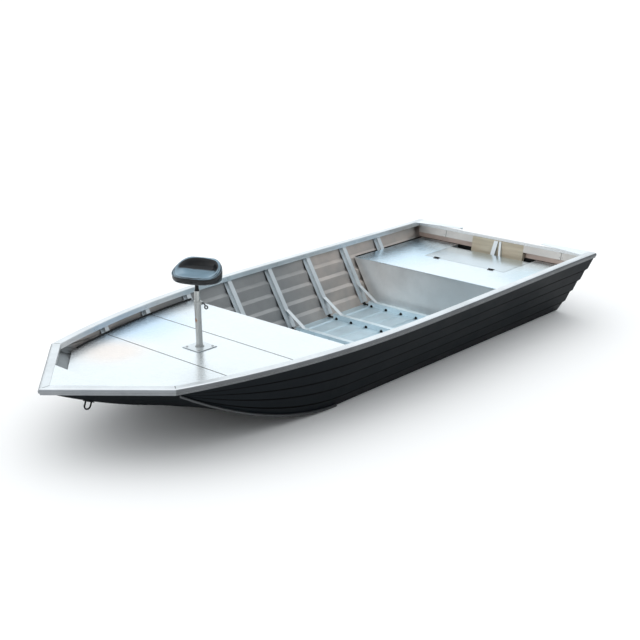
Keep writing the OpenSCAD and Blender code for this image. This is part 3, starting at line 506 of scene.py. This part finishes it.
# Black parts and the motor board
dress(dark_finish("black_steel", rgb(15, 16, 17), rough=0.45, grain=300.0),
      "bow_eye", "hinge_leaves_deck", "hinge_leaves_lid")
dress(dark_finish("black_plastic", rgb(22, 23, 25), rough=0.5, grain=700.0), "seat_neck")
dress(board_material(), "motor_board")

# Materials of the pieces that are made here
vinyl = vinyl_material()
# Black rubber for the hatch gasket, and for the deck's edge strips that stand in as painted shade
rubber_and_gap_shade = dark_finish("rubber_and_gap_shade", rgb(17, 18, 18), rough=0.55, grain=260.0)
sealant = dark_finish("sealant", rgb(46, 50, 52), rough=0.5, grain=500.0)
pale_sealant = dark_finish("pale_sealant", rgb(96, 103, 107), rough=0.5, grain=500.0)
bolt_steel = aluminium("bolt_steel", Z, tone=(0.50, 0.51, 0.52), rough=0.28)
weld_metal = aluminium("weld_metal", X, tone=(0.38, 0.40, 0.40), rough=0.42)


# Small mesh helpers
def loose_piece(name, verts, faces):
    mesh = bpy.data.meshes.new(name)
    mesh.from_pydata([tuple(v) for v in verts], [], faces)
    mesh.update()
    obj = bpy.data.objects.new(name, mesh)
    scene.collection.objects.link(obj)
    return obj


def finish_piece(obj, mat, body):
    obj.data.materials.clear()
    obj.data.materials.append(mat)
    obj.data.polygons.foreach_set("use_smooth", [True] * len(obj.data.polygons))
    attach(obj, body)


def add_piece(name, shape, mat, body):
    finish_piece(loose_piece(name, *shape), mat, body)


def skin(rings, closed=True):
    """Faces over a row of equal rings, with a cap at each end where closed."""
    count = len(rings[0])
    verts = [v for ring in rings for v in ring]
    faces = []
    for i in range(len(rings) - 1):
        for j in range(count):
            k = (j + 1) % count
            faces.append((i * count + j, i * count + k, (i + 1) * count + k, (i + 1) * count + j))
    if closed:
        faces.append(tuple(range(count))[::-1])
        faces.append(tuple((len(rings) - 1) * count + j for j in range(count)))
    return verts, faces


BEAD_SIDES = 8
RIPPLE_STEPS = 4
RIPPLE_LEAST, RIPPLE_RANGE = 0.7, 0.6


def spaced(points, pitch, loop):
    """The path with more points, so that each ripple of a bead has its steps."""
    ends = points[1:] + points[:1] if loop else points[1:]
    fine = []
    for start, end in zip(points, ends):
        count = max(1, round(RIPPLE_STEPS * (end - start).length / pitch))
        fine += [start.lerp(end, k / count) for k in range(count)]
    return fine if loop else fine + [points[-1]]


def bead(path, half_w, half_h, loop=False, pitch=0.0, ripple=0.0):
    """A rounded bead along a path; with a pitch it swells and narrows as a weld does."""
    points = [Vector(p) for p in path]
    if pitch:
        points = spaced(points, pitch, loop)
    turns = [math.tau * k / BEAD_SIDES for k in range(BEAD_SIDES)]
    last = len(points) - 1
    rings = []
    for i, p in enumerate(points):
        before = points[i - 1] if i or loop else p
        after = points[(i + 1) % len(points)] if i < last or loop else p
        ahead = (after - before).normalized()
        side = ahead.cross(Vector((0, 0, 1)))
        side = side.normalized() if side.length > 1e-6 else Vector((1, 0, 0))
        up = side.cross(ahead)
        swell = 1
        if pitch:
            uneven = RIPPLE_LEAST + RIPPLE_RANGE * random.random()
            swell = 1 + ripple * math.cos(math.tau * i / RIPPLE_STEPS) * uneven
        rings.append([p + swell * (half_w * math.cos(t) * side + half_h * math.sin(t) * up) for t in turns])
    if loop:
        rings.append(rings[0])
    return skin(rings, closed=not loop)


def turned(profile, at, sides):
    """A round piece about an upright axis, from rows of radius and height."""
    at = Vector(at)
    turns = [math.tau * k / sides for k in range(sides)]
    rings = []
    for radius, height in profile:
        rings.append([at + Vector((radius * math.cos(t), radius * math.sin(t), height)) for t in turns])
    return skin(rings)


def together(shapes):
    """Several shapes as the vertices and faces of one mesh."""
    verts, faces = [], []
    for more_verts, more_faces in shapes:
        start = len(verts)
        verts += more_verts
        faces += [tuple(start + i for i in face) for face in more_faces]
    return verts, faces


LEVEL_WITHIN = 0.0005


def top_edge(node, side):
    """Outer edge of a sheet's top from aft forward, with side 1 for port and -1 for starboard."""
    points = [v.co for v in NODES[node].data.vertices]
    top = max(p.z for p in points)
    widest = {}
    for p in points:
        key = round(p.x, 3)
        if p.z > top - LEVEL_WITHIN and p.y * side > 0:
            if key not in widest or p.y * side > widest[key].y * side:
                widest[key] = p.copy()
    return [widest[key] for key in sorted(widest)]


def bake(obj):
    """Keeps what the piece's modifiers make of it and drops them."""
    graph = bpy.context.evaluated_depsgraph_get()
    made = bpy.data.meshes.new_from_object(obj.evaluated_get(graph))
    obj.modifiers.clear()
    obj.data = made


# Seat cushion: the same form as its solid, finer, with a rolled rim, a deep dish and a sewn edge
SEAT_FOOT_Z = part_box("seat_pad")[0][Z]
SEAT_W, SEAT_D = 0.396, 0.274
SEAT_FRONT_H, SEAT_BACK_H, SEAT_DISH_H = 0.053, 0.150, 0.048
SEAT_HEADING = math.radians(21)
SEAT_BACK_SET = 0.012
SEAT_SQUARE = 0.9
SEAT_CLIMB = (48, 156)
SEAT_WAVE, SEAT_WAVES, SEAT_WAVE_END = 0.003, 4, 68
SEAT_STEPS = 96
SEAT_BEARINGS = [360 * k / SEAT_STEPS for k in range(SEAT_STEPS)]
SEAT_TURN = Matrix.Rotation(SEAT_HEADING, 3, "Z")
SEAT_AT = Vector((SWIVEL.x, SWIVEL.y, SEAT_FOOT_Z)) + SEAT_TURN @ Vector((-SEAT_BACK_SET, 0, 0))
PUFF_VOXEL, PUFF_PRESSURE, PUFF_CAP, PUFF_FRAMES = 0.005, 3.0, 0.004, 20
# Outer rings: share of the outline and of the edge's height, from the underside up to the rim
SEAT_OUTER = (
    (0.05, 0.0), (0.6, 0.0), (0.85, 0.0), (0.925, 0.02), (0.965, 0.12), (0.985, 0.32), (0.995, 0.58),
    (0.99, 0.80), (0.97, 0.93), (0.935, 1.0))
SEAT_RIM = SEAT_OUTER[-1][0]
# Inner rings: share of the way from the rim to the dish's middle, and of the drop at the back and front
SEAT_INNER = (
    (0.05, 0.01, 0.02), (0.10, 0.09, 0.06), (0.15, 0.34, 0.12), (0.20, 0.66, 0.20), (0.27, 0.89, 0.32),
    (0.37, 0.98, 0.50), (0.52, 1.0, 0.75), (0.75, 1.0, 1.0), (0.96, 1.0, 1.0))


def power(value, exponent):
    return math.copysign(abs(value) ** exponent, value)


def within_one(value):
    return min(1, max(0, value))


def seat_rise(bearing):
    """Height of the cushion's edge: a low waved front that climbs to the back."""
    off = min(bearing, 360 - bearing)
    share = within_one((off - SEAT_CLIMB[0]) / (SEAT_CLIMB[1] - SEAT_CLIMB[0]))
    wave = SEAT_WAVE * math.cos(math.radians(off * SEAT_WAVES)) * max(0, 1 - off / SEAT_WAVE_END)
    return SEAT_FRONT_H + (SEAT_BACK_H - SEAT_FRONT_H) * share * share * (3 - 2 * share) + wave


def dish_height(bearing, back_drop, front_drop):
    """Height inside the rim, after a share of the drop from the edge to the dish."""
    edge = seat_rise(bearing)
    climb = (edge - SEAT_FRONT_H) / (SEAT_BACK_H - SEAT_FRONT_H)
    drop = front_drop + (back_drop - front_drop) * within_one(climb)
    return edge + (SEAT_DISH_H - edge) * drop


def seat_point(bearing, reach, height):
    a = math.radians(bearing)
    flat = Vector((
        SEAT_D / 2 * power(math.cos(a), SEAT_SQUARE) * reach,
        SEAT_W / 2 * power(math.sin(a), SEAT_SQUARE) * reach, height))
    return SEAT_AT + SEAT_TURN @ flat


def puff(obj):
    """Swells a closed pad with the cloth solver; no point ends further than the cap from where it was."""
    remesh = obj.modifiers.new("voxels", "REMESH")
    remesh.mode = "VOXEL"
    remesh.voxel_size = PUFF_VOXEL
    bake(obj)
    start = [v.co.copy() for v in obj.data.vertices]
    cloth = obj.modifiers.new("cloth", "CLOTH")
    cloth.settings.use_pressure = True
    cloth.settings.uniform_pressure_force = PUFF_PRESSURE
    cloth.settings.effector_weights.gravity = 0
    cloth.point_cache.frame_end = PUFF_FRAMES
    for step in range(1, PUFF_FRAMES + 1):
        scene.frame_set(step)
    bake(obj)
    for vertex, was in zip(obj.data.vertices, start):
        move = vertex.co - was
        if move.length > PUFF_CAP:
            vertex.co = was + move * (PUFF_CAP / move.length)
        vertex.co.z = max(vertex.co.z, SEAT_FOOT_Z)
    scene.frame_set(1)


seat_rings = []
for reach, share in SEAT_OUTER:
    seat_rings.append([seat_point(b, reach, seat_rise(b) * share) for b in SEAT_BEARINGS])
for inward, *drops in SEAT_INNER:
    reach = SEAT_RIM * (1 - inward)
    seat_rings.append([seat_point(b, reach, dish_height(b, *drops)) for b in SEAT_BEARINGS])
cushion = loose_piece("seat_cushion", *skin(seat_rings))
puff(cushion)
soften = cushion.modifiers.new("soften", "SUBSURF")
soften.levels = 1
soften.render_levels = 1
finish_piece(cushion, vinyl, "seat")
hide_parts("seat_pad")

# Piping where the cushion's top meets its side band
PIPING_REACH, PIPING_SHARE, PIPING_R = 0.972, 0.84, 0.0032
piping_path = [seat_point(b, PIPING_REACH, seat_rise(b) * PIPING_SHARE) for b in SEAT_BEARINGS]
add_piece("seat_piping", bead(piping_path, PIPING_R, PIPING_R, loop=True), vinyl, "seat")

# Black rubber strip on the front deck's long edges, standing in as painted shade for the dark gap between
# deck and side, and sealant in its two seams
SHEETS = ("front_deck_aft", "front_deck_mid", "front_deck_fore")
GAP_SHADE_STRIP = {"half_w": 0.006, "half_h": 0.009}
GAP_SHADE_LIFT = Vector((0, 0, 0.003))
GAP_SHADE_FORE_X = 1.885
for side, label in ((1, "port"), (-1, "starboard")):
    gap_shades = []
    for sheet in SHEETS:
        edge = [p + GAP_SHADE_LIFT for p in top_edge(sheet, side) if p.x < GAP_SHADE_FORE_X]
        gap_shades.append(bead(edge, **GAP_SHADE_STRIP))
    add_piece("deck_gap_shade_" + label, together(gap_shades), rubber_and_gap_shade, "hull")
SEAM = {"half_w": 0.0045, "half_h": 0.0010, "pitch": 0.05, "ripple": 0.10}
seams = []
for aft, fore in zip(SHEETS, SHEETS[1:]):
    seam_x = (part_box(aft)[1][X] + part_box(fore)[0][X]) / 2
    half = top_edge(fore, 1)[0].y
    seams.append(bead([(seam_x, -half, DECK_Z), (seam_x, half, DECK_Z)], **SEAM))
add_piece("deck_seams", together(seams), sealant, "hull")

# Rubber gasket down in the gap at each side of the hatch lid
GASKET_R, GASKET_OUT, GASKET_DOWN = 0.0024, 0.0025, 0.010
lid_low, lid_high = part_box("hatch_lid")
gasket_z = lid_high[Z] - GASKET_DOWN
gaskets = []
for side in (1, -1):
    gasket_y = side * (lid_high[Y] + GASKET_OUT)
    line = [(lid_low[X], gasket_y, gasket_z), (lid_high[X], gasket_y, gasket_z)]
    gaskets.append(bead(line, GASKET_R, GASKET_R))
add_piece("hatch_gasket", together(gaskets), rubber_and_gap_shade, "hull")

# Seat base: sealant round the plate, four bolts with washers, and a weld round the foot of the post
BASE_SEAL = {"half_w": 0.004, "half_h": 0.0028, "pitch": 0.012, "ripple": 0.10}
base_low, base_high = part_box("pedestal_base")
corners = [(base_low[X], base_low[Y], DECK_Z), (base_high[X], base_low[Y], DECK_Z),
           (base_high[X], base_high[Y], DECK_Z), (base_low[X], base_high[Y], DECK_Z)]
add_piece("base_sealant", bead(corners, loop=True, **BASE_SEAL), pale_sealant, "hull")
BOLT_IN, BOLT_SIDES = 0.022, 20
BOLT_HEAD = ((0.0105, 0.0), (0.0105, 0.0014), (0.0100, 0.0018), (0.0072, 0.0018), (0.0072, 0.0044),
             (0.0066, 0.0058), (0.0045, 0.0066), (0.0008, 0.0069))
bolts = []
for x in (base_low[X] + BOLT_IN, base_high[X] - BOLT_IN):
    for y in (base_low[Y] + BOLT_IN, base_high[Y] - BOLT_IN):
        bolts.append(turned(BOLT_HEAD, (x, y, base_high[Z]), BOLT_SIDES))
add_piece("base_bolts", together(bolts), bolt_steel, "hull")
FOOT_R, FOOT_STEPS = 0.0305, 48
FOOT_WELD = {"half_w": 0.0045, "half_h": 0.004, "pitch": 0.006, "ripple": 0.16}
foot = []
for k in range(FOOT_STEPS):
    turn = math.tau * k / FOOT_STEPS
    foot.append((SWIVEL.x + FOOT_R * math.cos(turn), SWIVEL.y + FOOT_R * math.sin(turn), base_high[Z]))
add_piece("foot_weld", bead(foot, loop=True, **FOOT_WELD), weld_metal, "hull")

# Hinge screws, two on each leaf
SCREW_HEAD = ((0.0036, 0.0), (0.0036, 0.0008), (0.0029, 0.0016), (0.0006, 0.0019))
SCREW_IN, SCREW_SPREAD, SCREW_SIDES = 0.007, 0.014, 14
LEAF_W, LEAF_T = 0.052, 0.002
hinge_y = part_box("hinge_leaves_deck")[1][Y] - LEAF_W / 2
for name, body, screw_x in (
        ("hinge_screws_deck", "hull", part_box("hinge_leaves_deck")[1][X] - SCREW_IN),
        ("hinge_screws_lid", "hatch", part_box("hinge_leaves_lid")[0][X] + SCREW_IN)):
    screws = []
    for middle in (hinge_y, -hinge_y):
        for off in (-SCREW_SPREAD, SCREW_SPREAD):
            screws.append(turned(SCREW_HEAD, (screw_x, middle + off, STERN_Z + LEAF_T), SCREW_SIDES))
    add_piece(name, together(screws), bolt_steel, body)

# Joint lines in the transom's inner skins, with two rivets at each side
SKIN_JOINTS = (-0.63, 0.72)
JOINT_LINE = {"half_w": 0.0022, "half_h": 0.0010}
JOINT_LIFT, JOINT_SHORT = 0.002, 0.006
RIVET_HEAD = ((0.0042, -0.001), (0.0042, 0.0004), (0.0034, 0.0016), (0.0008, 0.0021))
RIVET_OFF, RIVET_SHARES, RIVET_SIDES = 0.016, (0.25, 0.75), 14
RIVET_LEAN = Vector((1, 0, RAKE)).to_track_quat("Z", "Y").to_matrix()
skin_low, skin_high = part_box("transom_skins")
rivet_verts, rivet_faces = turned(RIVET_HEAD, (0, 0, 0), RIVET_SIDES)
joints, rivets = [], []
for y in SKIN_JOINTS:
    foot_at = Vector((skin_high[X], y, skin_low[Z] + JOINT_LIFT))
    head_at = foot_at + Vector((-RAKE, 0, 1)) * (skin_high[Z] - skin_low[Z] - JOINT_SHORT)
    joints.append(bead([foot_at, head_at], **JOINT_LINE))
    for off in (-RIVET_OFF, RIVET_OFF):
        for share in RIVET_SHARES:
            spot = foot_at.lerp(head_at, share) + Vector((0, off, 0))
            rivets.append(([spot + RIVET_LEAN @ v for v in rivet_verts], rivet_faces))
add_piece("skin_joints", together(joints), sealant, "hull")
add_piece("skin_rivets", together(rivets), bolt_steel, "hull")

# Weld beads where the rails meet, at both shoulders and at the nose
RAIL_WELD = {"half_w": 0.004, "half_h": 0.0012, "pitch": 0.006, "ripple": 0.2}
NOSE_IN, NOSE_OUT = 2.604, 2.664
mitres = [bead([(NOSE_IN, 0, RAIL_Z), (NOSE_OUT, 0, RAIL_Z)], **RAIL_WELD)]
for side in (1, -1):
    shoulder = top_edge("gunwale_port", 1)[-2:]
    mitres.append(bead([(p.x, p.y * side, RAIL_Z) for p in shoulder], **RAIL_WELD))
add_piece("rail_welds", together(mitres), weld_metal, "hull")

# Floor
STUDIO_HALF, STUDIO_DROP = 3000, 0.002
STUDIO_TONE, STUDIO_MATT = (0.985, 0.97, 0.955, 1), 0.9
floor_mesh = bpy.data.meshes.new("floor")
floor_mesh.from_pydata(
    [(-STUDIO_HALF, -STUDIO_HALF, 0), (STUDIO_HALF, -STUDIO_HALF, 0),
     (STUDIO_HALF, STUDIO_HALF, 0), (-STUDIO_HALF, STUDIO_HALF, 0)], [], [(0, 1, 2, 3)])
floor = bpy.data.objects.new("floor", floor_mesh)
floor.location.z = -STUDIO_DROP
scene.collection.objects.link(floor)
floor_mat, g, surface, place = new_material("floor_pale")
g.put(surface, g.shader({"Base Color": STUDIO_TONE, "Roughness": STUDIO_MATT}))
floor_mesh.materials.append(floor_mat)

# Sky by height, from the horizon up: a white band, a dim wall and a bright ceiling
SKY = (
    (0.0, (0.98, 0.98, 0.98)), (0.05, (0.90, 0.90, 0.90)), (0.12, (0.40, 0.41, 0.42)),
    (0.2, (0.42, 0.44, 0.46)), (0.4, (0.62, 0.67, 0.71)), (0.65, (0.90, 0.96, 1.0)),
    (1.0, (0.84, 0.87, 0.90)))
world = bpy.data.worlds.new("studio")
scene.world = world
world.use_nodes = True
g = Graph(world.node_tree)
direction = g.add("ShaderNodeTexCoord").outputs["Generated"]
sky = g.add("ShaderNodeValToRGB", {0: g.axes(direction)[Z]})
stops = sky.color_ramp.elements
stops.remove(stops[1])
stops[0].color = (*SKY[0][1], 1)
for position, colour in SKY[1:]:
    stops.new(position).color = (*colour, 1)
background = g.add("ShaderNodeBackground", {"Color": sky.outputs[0], "Strength": 1.0})
g.put(g.add("ShaderNodeOutputWorld").inputs[0], background.outputs[0])


# Lamps: a soft, spread sun from above, and a large card behind the boat that the decks mirror
def add_lamp(name, kind, at, ray, **settings):
    data = bpy.data.lights.new(name, kind)
    for key, value in settings.items():
        setattr(data, key, value)
    lamp = bpy.data.objects.new(name, data)
    lamp.location = at
    lamp.rotation_euler = ray.to_track_quat("-Z", "Y").to_euler()
    scene.collection.objects.link(lamp)


SUN_RAY = Vector((-0.35, 0.25, -1.0))
CARD_AT, CARD_AIM = Vector((-9.3, -9.6, 4.6)), Vector((0, 0, 0.5))
add_lamp("sun", "SUN", (0, 0, 0), SUN_RAY, energy=1.05, angle=math.radians(120))
add_lamp("sky_card", "AREA", CARD_AT, CARD_AIM - CARD_AT,
         shape="RECTANGLE", size=13, size_y=6, energy=158, color=(0.93, 0.98, 1.0))
